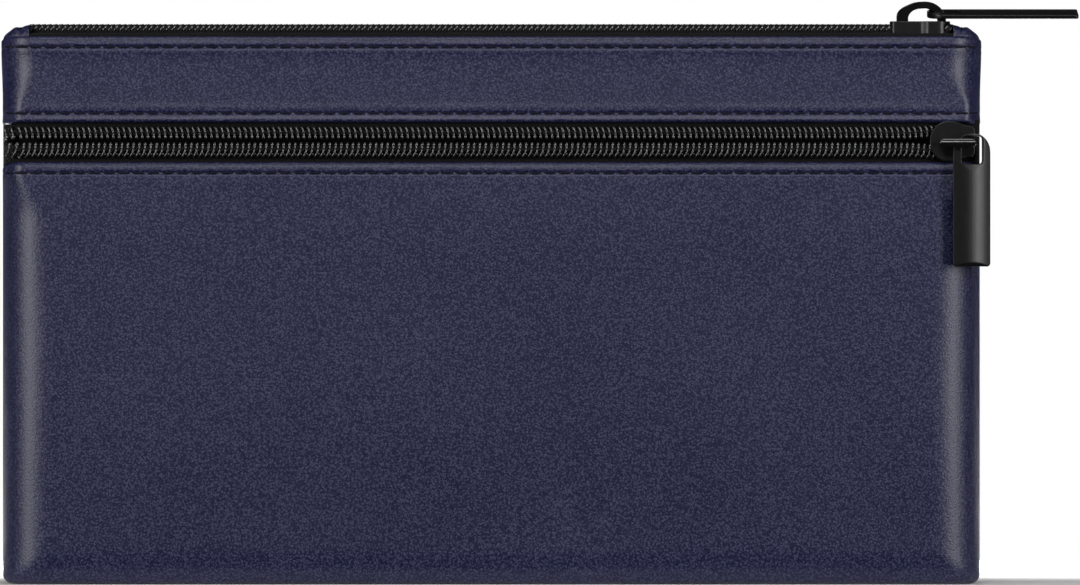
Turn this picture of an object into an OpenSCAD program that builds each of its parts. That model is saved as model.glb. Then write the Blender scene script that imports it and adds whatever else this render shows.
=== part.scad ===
// Cash deposit bag: a flat leather bag with a zipped main compartment and a zipped front pocket.
// Millimetres. +Z is up, the front face looks along -Y and the origin is the middle of the underside.

/* [Bag] */
// Width from side seam to side seam
bag_w = 280; // [250:1:320]
// Thickness of the body at its middle
bag_t = 20; // [20:0.5:24]
// Height of the folded upper edges
bag_h = 156.9; // [156.9:0.1:190]
// Radius of the upright corners
corner_r = 5.5; // [5:0.1:6]
// Radius of the two lower corners, seen from the front
foot_r = 2.6; // [2:0.1:4]
// Depth of the flat underside
base_flat = 13.2; // [12:0.2:14]
// Height of the rounding along the lower edges
base_round = 5.5; // [4:0.1:7]
// Thickness of the leather
leather_t = 1.2; // [1:0.05:1.2]
// How far a folded edge runs down inside
fold_depth = 9; // [7:0.5:9]

/* [Zips] */
// Height of the front zip's centreline
zip_z = 126.5; // [110:0.5:130]
// Half the gap between the folded edges along the front zip
zip_gap = 5.65; // [5.65:0.05:6]
// Distance from one coil turn to the next
pitch = 1.65; // [1.5:0.05:2]
// Width of one row of coil
row_w = 4; // [3.8:0.05:4]
// Thickness of a row of coil
coil_t = 2.3; // [2:0.05:2.3]
// How far two meshed rows overlap
mesh = 1.1; // [0.8:0.05:1.2]
// Half the gap between the parted rows of the front zip
parted = 0.4; // [0.2:0.05:0.7]
// Thickness of a zip tape
tape_t = 0.5; // [0.4:0.05:0.5]

/* [Sliders] */
// Length of the top zip's slider
top_slider_l = 17.2; // [14:0.1:18]
// Length of the front zip's slider
front_slider_l = 12.8; // [12.6:0.1:15]
// Thickness of a slider's plates
plate_t = 0.95; // [0.8:0.05:1]
// Thickness of a slider's side flanges
flange_t = 0.55; // [0.4:0.05:0.55]
// Height of a bail above its slider
bail_h = 5.75; // [5.75:0.05:7]
// Width of a bail's strip
bail_w = 2.4; // [2:0.1:2.6]

/* [Pullers] */
// Width of a puller
puller_w = 10.8; // [10:0.1:12]
// Thickness of a puller's grip at its crown
puller_t = 2.1; // [2:0.1:2.3]
// Length of the top puller
top_puller_l = 43.3; // [36:0.1:46]
// Length of the front puller
front_puller_l = 38.2; // [34:0.1:42]
// Width of the eye in a puller
eye_w = 6.2; // [5:0.1:6.4]
// How far the top puller rests rolled over on its long axis
top_roll = 6; // [0:1:7]
// How far the front puller rests turned on its long axis
front_turn = 12; // [0:1:13]

/* [Hidden] */
$fn = 32;

navy = [0.20, 0.21, 0.31];
navy_thread = [0.06, 0.06, 0.11];
black_cloth = [0.09, 0.09, 0.10];
black_nylon = [0.05, 0.05, 0.06];
black_metal = [0.14, 0.14, 0.15];
black_lining = [0.12, 0.12, 0.13];

half_w = bag_w / 2;
// Height where the side walls end, and of the crown of a folded upper edge
side_top = bag_h - 1.8;
// Outer faces where they carry the zips
zip_face = bag_t / 2 - 0.3;
top_face = bag_t / 2 - 0.8;
// Straight run of a folded edge, between the upright corners
fold_w = bag_w - 2 * corner_r;
// Height of the front zip's two folded edges
lower_edge = zip_z - zip_gap;
upper_edge = zip_z + zip_gap;
// Outer face of the tapes, where the coils lie
top_seat = bag_h + 0.6;
front_seat = -(zip_face - 2 * leather_t);
// Inner edge of each tape, clear of the sliders' wedges
tape_edge = 1;
// Upright part of a top tape
tape_leg_in = top_face - 2 * leather_t - tape_t;
tape_leg_l = 11;

// Sliders: plates lie at these heights over the tape's outer face
play = 0.2;
plate_z = coil_t + play;
plate_top = plate_z + plate_t;
under_z = -tape_t - play - plate_t;
flange_z = 0.35;
wedge_half = 0.6;
row_play = 0.12;
rows_apart = wedge_half + 0.15;
// Where the rows part, from a slider's narrow end
part_run = 5.2;
top_part = 3.4;
front_part = 1.5;
// Overhang of the front slider's outer plate over its flanges
plate_lip = 0.35;
// Rounding of the narrow and the wide ends
narrow_r = 1.5;
top_wide_r = 3.6;
front_wide_r = 5.2;

// Places along the bag: a top slider's narrow end, a front slider's narrow end
top_slider_x = half_w - 8.6 - top_slider_l;
front_slider_x = half_w - 1.8;
coil_end = half_w - 8;
front_coil_end = half_w - 1.6;
tab_x = half_w - 7.8;

// Front bail's posts, from the slider's narrow end
post_r = 1.1;
post_a = 1;
post_b = 9.1;
// Top bail: centre of its arch and its reach to both sides
arch_u = 10;
arch_back = 9.2;
arch_fore = 6.1;
arch_t = 2;
arch_leg_t = 2.5;
arch_foot_t = 3.4;

// Puller: end wall and corners of the eye, eye part's thickness, fall from the crown to the edges
eye_wall = 1.05;
eye_r = 0.8;
eye_t = 1.8;
crown = 0.5;
top_eye_l = 8.6;
front_eye_l = 7.8;
front_pivot_x = front_slider_x - post_a;
front_puller_y = front_seat - plate_top - 0.3
    - (puller_t / 2 - crown) * cos(front_turn) - puller_w / 2 * sin(front_turn);
top_puller_x = top_slider_x + 10.6;
top_puller_z = top_seat + plate_top + 2.4;

stitch_pitch = 4.2;
stitch_l = 3.2;
stitch_r = 0.3;

// ---- shared shapes ----

function smooth(t) = let (c = min(1, max(0, t))) c * c * (3 - 2 * c);
function arc(cx, cy, rx, ry, from, to, n = 8) =
    [for (i = [0:n]) let (a = from + (to - from) * i / n) [cx + rx * cos(a), cy + ry * sin(a)]];
function flip_x(p) = [for (i = [len(p) - 1:-1:0]) [-p[i][0], p[i][1]]];
function flip_y(p) = [for (i = [len(p) - 1:-1:0]) [p[i][0], -p[i][1]]];
// Distance of the outer face from the middle plane at height z
function face(z) = lookup(z, [[0, bag_t / 2], [80, bag_t / 2], [zip_z, zip_face], [bag_h - 6, top_face]]);

module along_x(l) rotate([90, 0, 90]) linear_extrude(l, center = true) children();
module along_y(l) rotate([90, 0, 0]) linear_extrude(l, center = true) children();

// Outline of half the bag seen from the side, set in by t
function half_profile(t, top) = concat(
    arc(base_flat / 2, base_round, bag_t / 2 - base_flat / 2 - t, base_round - t, -90, 0),
    [for (z = [80, zip_z, bag_h - 6, top]) [face(z) - t, z]]);

// The bag's filled form, set in by t and cut off at the height top
module filled(t, top) intersection() {
    r = corner_r - t;
    linear_extrude(top) polygon(let (q = concat(
        arc(half_w - corner_r, -bag_t / 2 + corner_r, r, r, -90, 0),
        arc(half_w - corner_r, bag_t / 2 - corner_r, r, r, 0, 90))) concat(q, flip_x(q)));
    along_x(bag_w) polygon(let (p = half_profile(t, top)) concat(p, flip_x(p)));
    along_y(bag_t) polygon(let (p = concat(
        arc(half_w - foot_r, foot_r, foot_r - t, foot_r - t, -90, 0, 5),
        [[half_w - t, top]])) concat(p, flip_x(p)));
}

module leather_shell() difference() {
    filled(0, side_top);
    filled(leather_t, side_top + 1);
}

// Doubled edge: crown at height z, folded down (dir 1) or up (dir -1), outer face at y
module folded_edge(y, z, dir) along_x(fold_w) translate([-y + leather_t, z - dir * leather_t]) {
    circle(leather_t);
    translate([-leather_t, dir > 0 ? -fold_depth : 0]) square([2 * leather_t, fold_depth]);
}

// ---- leather ----

module back_panel() color(navy) {
    intersection() {
        leather_shell();
        along_x(bag_w) polygon([[base_flat / 2, -1], [bag_t, -1], [bag_t, bag_h], [0, bag_h],
            [0, leather_t], [base_flat / 2, leather_t]]);
    }
    mirror([0, 1, 0]) folded_edge(top_face, bag_h, 1);
}

// The front panel runs under the bag and meets the back panel at the rear lower edge
module front_panel() color(navy) {
    intersection() {
        leather_shell();
        along_x(bag_w) polygon([[-bag_t, -1], [base_flat / 2, -1], [base_flat / 2, leather_t],
            [0, leather_t], [0, lower_edge - leather_t], [-bag_t, lower_edge - leather_t]]);
    }
    folded_edge(zip_face, lower_edge, 1);
}

module upper_band() color(navy) {
    intersection() {
        leather_shell();
        along_x(bag_w) translate([-bag_t, upper_edge + leather_t]) square([bag_t, bag_h]);
    }
    folded_edge(zip_face, upper_edge, -1);
    folded_edge(top_face, bag_h, 1);
}

// Tab folded over a zip's end and caught in the side seam
module zip_tab() color(navy) along_y(2 * tape_leg_in - 0.4) polygon([
    [tab_x, top_seat + 0.1], [tab_x, top_seat + 2.4], [half_w - 5.4, top_seat + 1.9],
    [half_w - 3.3, top_seat + 1.7], [half_w - 1.8, top_seat + 0.4], [half_w - 0.3, side_top + 0.4],
    [half_w - 0.9, side_top + 0.1], [half_w - 2.6, top_seat + 0.1]]);
module right_zip_tab() zip_tab();
module left_zip_tab() mirror([1, 0, 0]) zip_tab();

// ---- linings ----

lining_t = 0.35;
lining_gap = 0.2;
lining_w = 2 * (half_w - corner_r);
lining_top = side_top - 2.5;
divider_y = -1.4;
divider_t = 0.6;

// Back of the main compartment, from the bottom seam up to the tape
module main_lining() color(black_lining) {
    wall = bag_t / 2 - leather_t - lining_gap;
    top_y = tape_leg_in - 0.1;
    low = leather_t + lining_gap;
    along_x(lining_w) difference() {
        polygon([[0, low], [base_flat / 2 - 1, low], [wall, base_round + 2], [wall, 80],
            [wall - 1, lining_top - 14], [top_y, lining_top - 6], [top_y, lining_top], [0, lining_top]]);
        polygon([[-1, low + lining_t], [base_flat / 2 - 1.2, low + lining_t],
            [wall - lining_t, base_round + 2.2], [wall - lining_t, 80],
            [wall - 1 - lining_t, lining_top - 14.2], [top_y - lining_t, lining_top - 6.2],
            [top_y - lining_t, lining_top + 1], [-1, lining_top + 1]]);
    }
}

// Wall between the main compartment and the front pocket
module pocket_divider() color(black_lining) {
    top_y = -tape_leg_in + 0.1;
    low = leather_t + lining_gap + lining_t + 0.2;
    along_x(lining_w) polygon([[divider_y, low], [divider_y, lining_top - 16.6],
        [top_y, lining_top - 5], [top_y, lining_top], [top_y + divider_t, lining_top],
        [top_y + divider_t, lining_top - 4.8], [divider_y + divider_t, lining_top - 16.4],
        [divider_y + divider_t, low]]);
}

// Front of the pocket, from the bottom seam up to the lower tape
module pocket_lining() color(black_lining) {
    wall = -(zip_face - leather_t - lining_gap);
    top_y = front_seat + tape_t + 0.1;
    low = leather_t + lining_gap;
    fold_low = lower_edge - leather_t - fold_depth;
    along_x(lining_w) polygon([[divider_y - 0.2, low], [-base_flat / 2 + 1, low], [wall, base_round + 2],
        [wall, fold_low - 4], [top_y, fold_low], [top_y, lower_edge - 2],
        [top_y + lining_t, lower_edge - 2], [top_y + lining_t, fold_low - 0.2],
        [wall + lining_t, fold_low - 4.2], [wall + lining_t, base_round + 2.2],
        [-base_flat / 2 + 1.2, low + lining_t], [divider_y - 0.2, low + lining_t]]);
}

// ---- zips ----

// A row's inner edge from the centreline, u from the slider's narrow end
function parting(u, start) = -mesh / 2 + (mesh / 2 + rows_apart) * smooth((u - start) / part_run);
// The same for the front zip, whose parted rows draw together again beyond the slider
function front_parting(u) = parting(u, front_part) - (rows_apart - parted) * smooth((u - front_slider_l) / 6);

tooth_w = 0.75;
tooth_l = 1.3;

// One row as a comb along X: teeth every pitch from first, edge(x) from the centreline, to the side +Y
module comb(first, end, edge) {
    xs = [for (x = first; x < end - tooth_w; x = x + pitch) x];
    teeth = [for (x = xs, c = [[-1, tooth_l], [-1, 0], [1, 0], [1, tooth_l]])
        [x + c[0] * tooth_w / 2, edge(x) + c[1]]];
    bends = [for (i = [len(xs) - 1:-1:0]) if (abs(edge(xs[i] + pitch) - edge(xs[i] - pitch)) > 0.001)
        [xs[i], edge(xs[i]) + row_w]];
    linear_extrude(coil_t) polygon(concat(
        [[-end, edge(-end) + tooth_l]], teeth, [[end, edge(end) + tooth_l], [end, edge(end) + row_w]],
        bends, [[-end, edge(-end) + row_w]]));
}

module top_row(shift) translate([0, 0, top_seat])
    comb(-coil_end + 1 + shift, coil_end, function(x) parting(x - top_slider_x, top_part));
module front_row(shift)
    comb(-front_coil_end + 1 + shift, front_coil_end, function(x) front_parting(front_slider_x - x));
module on_front() translate([0, front_seat, zip_z]) rotate([90, 0, 0]) children();

module top_coil_back() color(black_nylon) top_row(0);
module top_coil_front() color(black_nylon) mirror([0, 1, 0]) top_row(pitch / 2);
module front_coil_upper() color(black_nylon) on_front() front_row(0);
module front_coil_lower() color(black_nylon) on_front() mirror([0, 1, 0]) front_row(pitch / 2);

// Top tape: flat under the coil, then down inside the folded edge
module top_tape() color(black_cloth) along_x(bag_w - 5.6) polygon([
    [tape_edge, top_seat - tape_t], [tape_edge, top_seat], [tape_leg_in + tape_t, top_seat],
    [tape_leg_in + tape_t, top_seat - tape_leg_l], [tape_leg_in, top_seat - tape_leg_l],
    [tape_leg_in, top_seat - tape_t]]);
module top_zip_tape_back() top_tape();
module top_zip_tape_front() mirror([0, 1, 0]) top_tape();

// Front tape: flat behind the coil and the folded edge, its ends turned back to the side seams
module front_tape() color(black_cloth) {
    end = half_w - 0.9;
    bend = end - tape_t;
    translate([0, front_seat, zip_gap - leather_t]) {
        translate([-fold_w / 2, 0, 0]) cube([fold_w, tape_t, fold_depth + 0.8]);
        translate([0, 0, tape_edge - zip_gap + leather_t])
            linear_extrude(zip_gap + leather_t - tape_edge - 0.1) polygon([
                [-end, -front_seat - 0.5], [-end, 0], [end, 0], [end, -front_seat - 0.5],
                [bend, -front_seat - 0.5], [bend, tape_t], [-bend, tape_t], [-bend, -front_seat - 0.5]]);
    }
}
module front_zip_tape_upper() translate([0, 0, zip_z]) front_tape();
module front_zip_tape_lower() translate([0, 0, zip_z]) mirror([0, 0, 1]) front_tape();

// ---- stitching ----

module stitch() rotate([0, 90, 0]) cylinder(stitch_l, stitch_r, stitch_r, center = true);
module stitch_row(l) {
    n = floor(l / stitch_pitch / 2);
    for (k = [-n:n]) translate([k * stitch_pitch, 0, 0]) stitch();
}
module face_stitching(z) color(navy_thread) translate([0, -face(z), z]) stitch_row(fold_w - 2);
module band_top_stitching() face_stitching(bag_h - 2.8);
module band_bottom_stitching() face_stitching(upper_edge + 3);
module pocket_edge_stitching() face_stitching(lower_edge - 3);
module back_top_stitching() mirror([0, 1, 0]) face_stitching(bag_h - 2.8);
module tab_stitching() color(navy_thread) for (side = [-1, 1])
    translate([side * (half_w - 5.4), 0, top_seat + 1.9]) rotate([0, 0, 90])
        stitch_row(2 * tape_leg_in - 3);

// ---- sliders ----

// Loss of half width at distance d from an end rounded with radius r
function nose(d, r) = d < r ? r - sqrt(max(0, r * r - (r - d) * (r - d))) : 0;
function slider_half(u, l, start, wide_r) = parting(u, start) + row_w + row_play + flange_t
    - nose(u, narrow_r) - nose(l - u, wide_r);
function stations(l, n = 30) = [for (i = [0:n]) l * (1 - cos(180 * i / n)) / 2];

// Outline of a slider's plate, with its flanges' outer faces moved out by lip
module slider_plan(l, start, wide_r, lip) polygon(
    let (p = [for (u = stations(l)) [u, slider_half(u, l, start, wide_r) + lip]]) concat(p, flip_y(p)));
module slider_channel(l, start) polygon(
    let (p = [for (u = stations(l + 2)) [u - 1, parting(u - 1, start) + row_w + row_play]])
        concat(p, flip_y(p)));
module slider_wedge(l, start) polygon(
    let (p = [for (u = stations(l - 0.6)) if (parting(u, start) > row_play)
        [u, min(wedge_half, parting(u, start) - row_play) * min(1, (l - 0.6 - u) / 1.4 + 0.3)]])
        concat(p, flip_y(p)));

module slider_body(l, start, wide_r, lip) color(black_metal) {
    translate([0, 0, plate_z]) linear_extrude(plate_t) slider_plan(l, start, wide_r, lip);
    translate([0, 0, under_z]) linear_extrude(plate_t) slider_plan(l, start, wide_r, 0);
    translate([0, 0, under_z + plate_t / 2]) linear_extrude(plate_z - under_z) slider_wedge(l, start);
    translate([0, 0, flange_z]) linear_extrude(plate_z + plate_t / 2 - flange_z) difference() {
        slider_plan(l, start, wide_r, 0);
        slider_channel(l, start);
    }
}

// A slider's own frame: x from its narrow end, z out from the tape
module top_place() translate([top_slider_x, 0, top_seat]) children();
module front_place() translate([front_slider_x, front_seat, zip_z]) rotate([90, 180, 0]) children();

module top_slider_body() top_place() slider_body(top_slider_l, top_part, top_wide_r, 0);
module front_slider_body() front_place() slider_body(front_slider_l, front_part, front_wide_r, plate_lip);

// Top bail: an uneven arch, steep at its thick foot
module top_slider_bail() color(black_metal) top_place() translate([0, 0, plate_top]) along_y(bail_w)
    difference() {
        polygon(concat(
            [[arch_u + arch_fore, -0.4]],
            arc(arch_u, 0, arch_fore, bail_h, 0, 90),
            arc(arch_u, 1.6, arch_back, bail_h - 1.6, 90, 180),
            [[arch_u - arch_back, -0.4]]));
        polygon(concat(
            [[arch_u + arch_fore - arch_leg_t, -1]],
            arc(arch_u, 0, arch_fore - arch_leg_t, bail_h - arch_t, 0, 90),
            arc(arch_u, 1, arch_back - arch_foot_t, bail_h - arch_t - 1, 90, 180),
            [[arch_u - arch_back + arch_foot_t, -1]]));
    }

// Front bail: two round posts and a flat bar
module front_slider_bail() color(black_metal) front_place() translate([0, 0, plate_top]) {
    for (u = [post_a, post_b]) translate([u, 0, -0.4]) cylinder(bail_h, post_r, post_r);
    translate([0, 0, bail_h - 1.5]) linear_extrude(1.5) {
        for (u = [post_a, post_b]) translate([u, 0]) circle(bail_w / 2);
        translate([post_a, -bail_w / 2]) square([post_b - post_a, bail_w]);
    }
}

// ---- pullers ----

// Puller along +X from the outside of its eye, thickness along Z
module puller(l, eye_l) color(black_metal) intersection() {
    w = puller_w / 2;
    grip = eye_wall + eye_l;
    a = eye_wall + eye_r;
    b = grip - eye_r;
    s = eye_w / 2 - eye_r;
    linear_extrude(puller_t, center = true) difference() {
        polygon(let (p = concat([[l, w - 0.6]], [[l - 0.6, w]], arc(w, 0, w, w, 90, 180, 12)))
            concat(p, [for (i = [len(p) - 2:-1:0]) [p[i][0], -p[i][1]]]));
        polygon(concat(arc(a, s, eye_r, eye_r, 180, 90, 6), arc(b, s, eye_r, eye_r, 90, 0, 6),
            arc(b, -s, eye_r, eye_r, 0, -90, 6), arc(a, -s, eye_r, eye_r, -90, -180, 6)));
    }
    along_y(puller_w + 2) polygon(let (p = [[0, eye_t / 2], [grip, eye_t / 2], [grip + 2, puller_t / 2],
        [l - 1.2, puller_t / 2], [l, puller_t / 2 - 0.5]]) concat(p, flip_y(p)));
    translate([l / 2, 0, 0]) along_x(l + 2) polygon(let (
        n = 10,
        p = [for (i = [0:n]) let (y = w * (2 * i / n - 1)) [y, puller_t / 2 - crown * pow(y / w, 2)]])
        concat(p, flip_y(p)));
}

module top_puller() translate([top_puller_x, 0, top_puller_z]) rotate([top_roll, 0, 0])
    puller(top_puller_l, top_eye_l);
module front_puller() translate([front_pivot_x, front_puller_y, zip_z + post_r + 0.25 + eye_wall])
    rotate([0, 0, front_turn]) rotate([0, 90, 0]) rotate([90, 0, 0]) puller(front_puller_l, front_eye_l);

back_panel();
front_panel();
upper_band();
main_lining();
pocket_divider();
pocket_lining();
top_zip_tape_front();
top_zip_tape_back();
top_coil_front();
top_coil_back();
front_zip_tape_upper();
front_zip_tape_lower();
front_coil_upper();
front_coil_lower();
left_zip_tab();
right_zip_tab();
band_top_stitching();
band_bottom_stitching();
pocket_edge_stitching();
back_top_stitching();
tab_stitching();
top_slider_body();
top_slider_bail();
top_puller();
front_slider_body();
front_slider_bail();
front_puller();
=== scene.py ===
"""Cash deposit bag: leather panels, coil zips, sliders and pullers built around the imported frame.
Shapes are worked out in millimetres and turned into metres as each mesh is made."""
import math

import bpy
import numpy as np
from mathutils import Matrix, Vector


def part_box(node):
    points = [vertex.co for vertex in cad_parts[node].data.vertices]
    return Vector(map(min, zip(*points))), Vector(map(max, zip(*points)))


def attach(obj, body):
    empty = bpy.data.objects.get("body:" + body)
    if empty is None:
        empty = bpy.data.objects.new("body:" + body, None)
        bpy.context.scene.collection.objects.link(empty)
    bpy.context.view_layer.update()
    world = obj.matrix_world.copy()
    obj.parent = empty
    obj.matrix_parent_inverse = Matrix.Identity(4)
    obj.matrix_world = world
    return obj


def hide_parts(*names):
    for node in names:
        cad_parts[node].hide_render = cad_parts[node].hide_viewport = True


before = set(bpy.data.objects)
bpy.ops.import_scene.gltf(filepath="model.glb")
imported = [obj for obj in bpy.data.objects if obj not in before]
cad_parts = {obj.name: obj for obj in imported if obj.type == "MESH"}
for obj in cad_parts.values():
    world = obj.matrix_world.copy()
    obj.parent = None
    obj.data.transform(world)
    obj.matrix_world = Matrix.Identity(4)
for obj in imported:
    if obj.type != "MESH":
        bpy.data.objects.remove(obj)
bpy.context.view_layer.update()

MM = 0.001


# ---------------------------------------------------------------- the frame's sizes, in millimetres

def span(node):
    """Lowest and highest corner of a CAD node, in millimetres."""
    low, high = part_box(node)
    return np.array(low) / MM, np.array(high) / MM


HALF_W = span("back_panel")[1][0]
TOP = span("back_panel")[1][2]
BASE_Y = span("front_panel")[1][1]
LOWER = span("front_panel")[1][2]
UPPER = span("upper_band")[0][2]
ZIP_Z = (LOWER + UPPER) / 2
TOP_SEAT = span("top_coil_front")[0][2]
FRONT_SEAT = span("front_coil_upper")[1][1]
COIL_END = span("top_coil_front")[1][0]
TOP_SLIDER = span("top_slider_body")
FRONT_SLIDER = span("front_slider_body")
LEG_Y = span("top_zip_tape_back")[1][1]
TAB_X = span("right_zip_tab")[0][0]

LEATHER = 1.2
FOLD = 2 * LEATHER
FOLD_DEPTH = 10.2
CREST = TOP - 0.3
STITCH_PITCH = 4.2
TOP_STITCH_SET, LOW_STITCH_SET, POCKET_STITCH_SET = 3.1, 2.65, 3.35
BAND_LOW = UPPER - 0.25
POCKET_TOP = LOWER - 0.28


# ---------------------------------------------------------------- small tools

def ease(t):
    t = np.clip(t, 0, 1)
    return t * t * (3 - 2 * t)


def eased(value, knots):
    """A smooth run through (place, height) knots, level at each."""
    out = np.full(np.shape(value), float(knots[0][1]))
    for (p0, h0), (p1, h1) in zip(knots, knots[1:]):
        out = out + (h1 - h0) * ease((np.asarray(value, float) - p0) / (p1 - p0))
    return out


def grid_faces(rows, cols, loop_rows=False, loop_cols=False):
    """Quads over a rows by cols lattice of points, closed round either way if asked."""
    r = np.arange(rows if loop_rows else rows - 1)
    c = np.arange(cols if loop_cols else cols - 1)
    r, c = np.meshgrid(r, c, indexing="ij")
    r2, c2 = (r + 1) % rows, (c + 1) % cols
    quads = np.stack([r * cols + c, r * cols + c2, r2 * cols + c2, r2 * cols + c], -1)
    return quads.reshape(-1, 4).tolist()


class Parts:
    """Points and faces of one piece, gathered from several lattices."""

    def __init__(self):
        self.points, self.faces, self.count = [], [], 0

    def add(self, points, faces):
        points = np.asarray(points, float).reshape(-1, 3)
        self.faces += [[i + self.count for i in f] for f in faces]
        self.points.append(points)
        self.count += len(points)

    def lattice(self, points, loop_rows=False, loop_cols=False, cap_rows=False, cap_cols=False):
        rows, cols = points.shape[:2]
        faces = grid_faces(rows, cols, loop_rows, loop_cols)
        if cap_rows:
            faces += [list(range(cols))[::-1], [(rows - 1) * cols + i for i in range(cols)]]
        if cap_cols:
            faces += [[i * cols for i in range(rows)], [i * cols + cols - 1 for i in range(rows)][::-1]]
        self.add(points, faces)

    def tube(self, path, radius, sides=8, flat=1.0, across=None):
        """A tube along path. With across, its section is radius * flat along that direction."""
        path = np.asarray(path, float)
        n = len(path)
        radius = np.broadcast_to(np.asarray(radius, float), (n,))
        tangent = np.gradient(path, axis=0)
        tangent /= np.linalg.norm(tangent, axis=1)[:, None]
        side = np.zeros((n, 3))
        if across is None:
            seed = np.eye(3)[np.argmin(np.abs(tangent[0]))]
            for i in range(n):
                seed = seed - tangent[i] * (seed @ tangent[i])
                seed /= np.linalg.norm(seed)
                side[i] = seed
        else:
            side = np.broadcast_to(np.asarray(across, float), (n, 3))
            side = side - tangent * (side * tangent).sum(1)[:, None]
            side = side / np.linalg.norm(side, axis=1)[:, None]
        other = np.cross(tangent, side)
        a = np.arange(sides) * 2 * math.pi / sides
        ring = (side[:, None] * np.cos(a)[None, :, None] * flat + other[:, None] * np.sin(a)[None, :, None])
        self.lattice(path[:, None] + ring * radius[:, None, None], loop_cols=True, cap_rows=True)

    def bead(self, middle, long, wide, up, rings=7, sides=8):
        """An egg with the given half axes."""
        a = np.linspace(0.12, math.pi - 0.12, rings)
        b = np.arange(sides) * 2 * math.pi / sides
        ring = np.cos(b)[:, None] * wide + np.sin(b)[:, None] * up
        points = middle + np.cos(a)[:, None, None] * long + np.sin(a)[:, None, None] * ring[None]
        self.lattice(points, loop_cols=True, cap_rows=True)


def through(points, steps):
    """A smooth (Catmull-Rom) path through points, with so many steps between each two."""
    p = np.asarray(points, float)
    p = np.vstack([2 * p[0] - p[1], p, 2 * p[-1] - p[-2]])
    t = (np.arange(steps) / steps)[:, None, None]
    a, b, c, d = p[:-3], p[1:-2], p[2:-1], p[3:]
    square, cube = 2 * a - 5 * b + 4 * c - d, 3 * b - a - 3 * c + d
    out = 0.5 * (2 * b + (c - a) * t + square * t ** 2 + cube * t ** 3)
    return np.vstack([out.transpose(1, 0, 2).reshape(-1, 3), p[-2]])


def along(line):
    """Distance along a line of points, counted from its middle point at x = 0."""
    length = np.concatenate([[0], np.cumsum(np.hypot(*np.diff(line[:, :2], axis=0).T))])
    return length - np.interp(0, line[:, 0], length)


def piece(name, parts, material, body, nodes, flip=False):
    """Makes one object from parts, which stands for the CAD nodes and rides on body."""
    mesh = bpy.data.meshes.new(name)
    mesh.from_pydata((np.vstack(parts.points) * MM).tolist(), [], parts.faces)
    mesh.polygons.foreach_set("use_smooth", [True] * len(mesh.polygons))
    if flip:
        mesh.flip_normals()
    mesh.materials.append(material)
    mesh.validate()
    obj = bpy.data.objects.new(name, mesh)
    bpy.context.scene.collection.objects.link(obj)
    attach(obj, body)
    if nodes:
        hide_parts(*nodes)
    return obj


# ---------------------------------------------------------------- materials

class Shader:
    """A material with a Principled shader and short calls for its texture nodes."""

    def __init__(self, name, **values):
        self.material = bpy.data.materials.new(name)
        self.material.use_nodes = True
        self.tree = self.material.node_tree
        self.shader = self.tree.nodes["Principled BSDF"]
        for key, value in values.items():
            self.shader.inputs[key.replace("_", " ")].default_value = value
        self.place = self.tree.nodes.new("ShaderNodeTexCoord").outputs["Object"]

    def node(self, kind, inputs=(), **settings):
        made = self.tree.nodes.new("ShaderNode" + kind)
        for key, value in settings.items():
            setattr(made, key, value)
        for key, value in dict(inputs).items():
            if isinstance(value, bpy.types.NodeSocket):
                self.tree.links.new(value, made.inputs[key])
            else:
                made.inputs[key].default_value = value
        return made

    def link(self, source, key):
        self.tree.links.new(source, self.shader.inputs[key])

    def stretched(self, x, y, z, tilt=0.0):
        inputs = {"Vector": self.place, "Scale": (x, y, z), "Rotation": (0, tilt, 0)}
        return self.node("Mapping", inputs).outputs[0]

    def noise(self, scale, detail=3.0, roughness=0.5, place=None):
        return self.node("TexNoise", {"Vector": place or self.place, "Scale": scale, "Detail": detail,
                                      "Roughness": roughness}).outputs["Fac"]

    def cells(self, scale, place, smoothness):
        inputs = {"Vector": place, "Scale": scale, "Smoothness": smoothness}
        return self.node("TexVoronoi", inputs, feature="SMOOTH_F1").outputs["Distance"]

    def math(self, operation, a, b):
        return self.node("Math", {0: a, 1: b}, operation=operation).outputs[0]

    def between(self, factor, low, high, out_low, out_high):
        return self.node("MapRange", {"Value": factor, "From Min": low, "From Max": high,
                                      "To Min": out_low, "To Max": out_high}).outputs[0]

    def mix(self, factor, a, b):
        made = self.node("Mix", {0: factor, 6: a, 7: b}, data_type="RGBA")
        return made.outputs[2]

    def bump(self, height, depth, strength=1.0):
        return self.node("Bump", {"Height": height, "Distance": depth, "Strength": strength}).outputs[0]


SWELLS, PEBBLES, PORES = 1700, 1550, 3600          # of the leather, to a metre
GRAIN_DEPTH = 0.00004
GRAIN_WANDER = 0.0005


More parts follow.
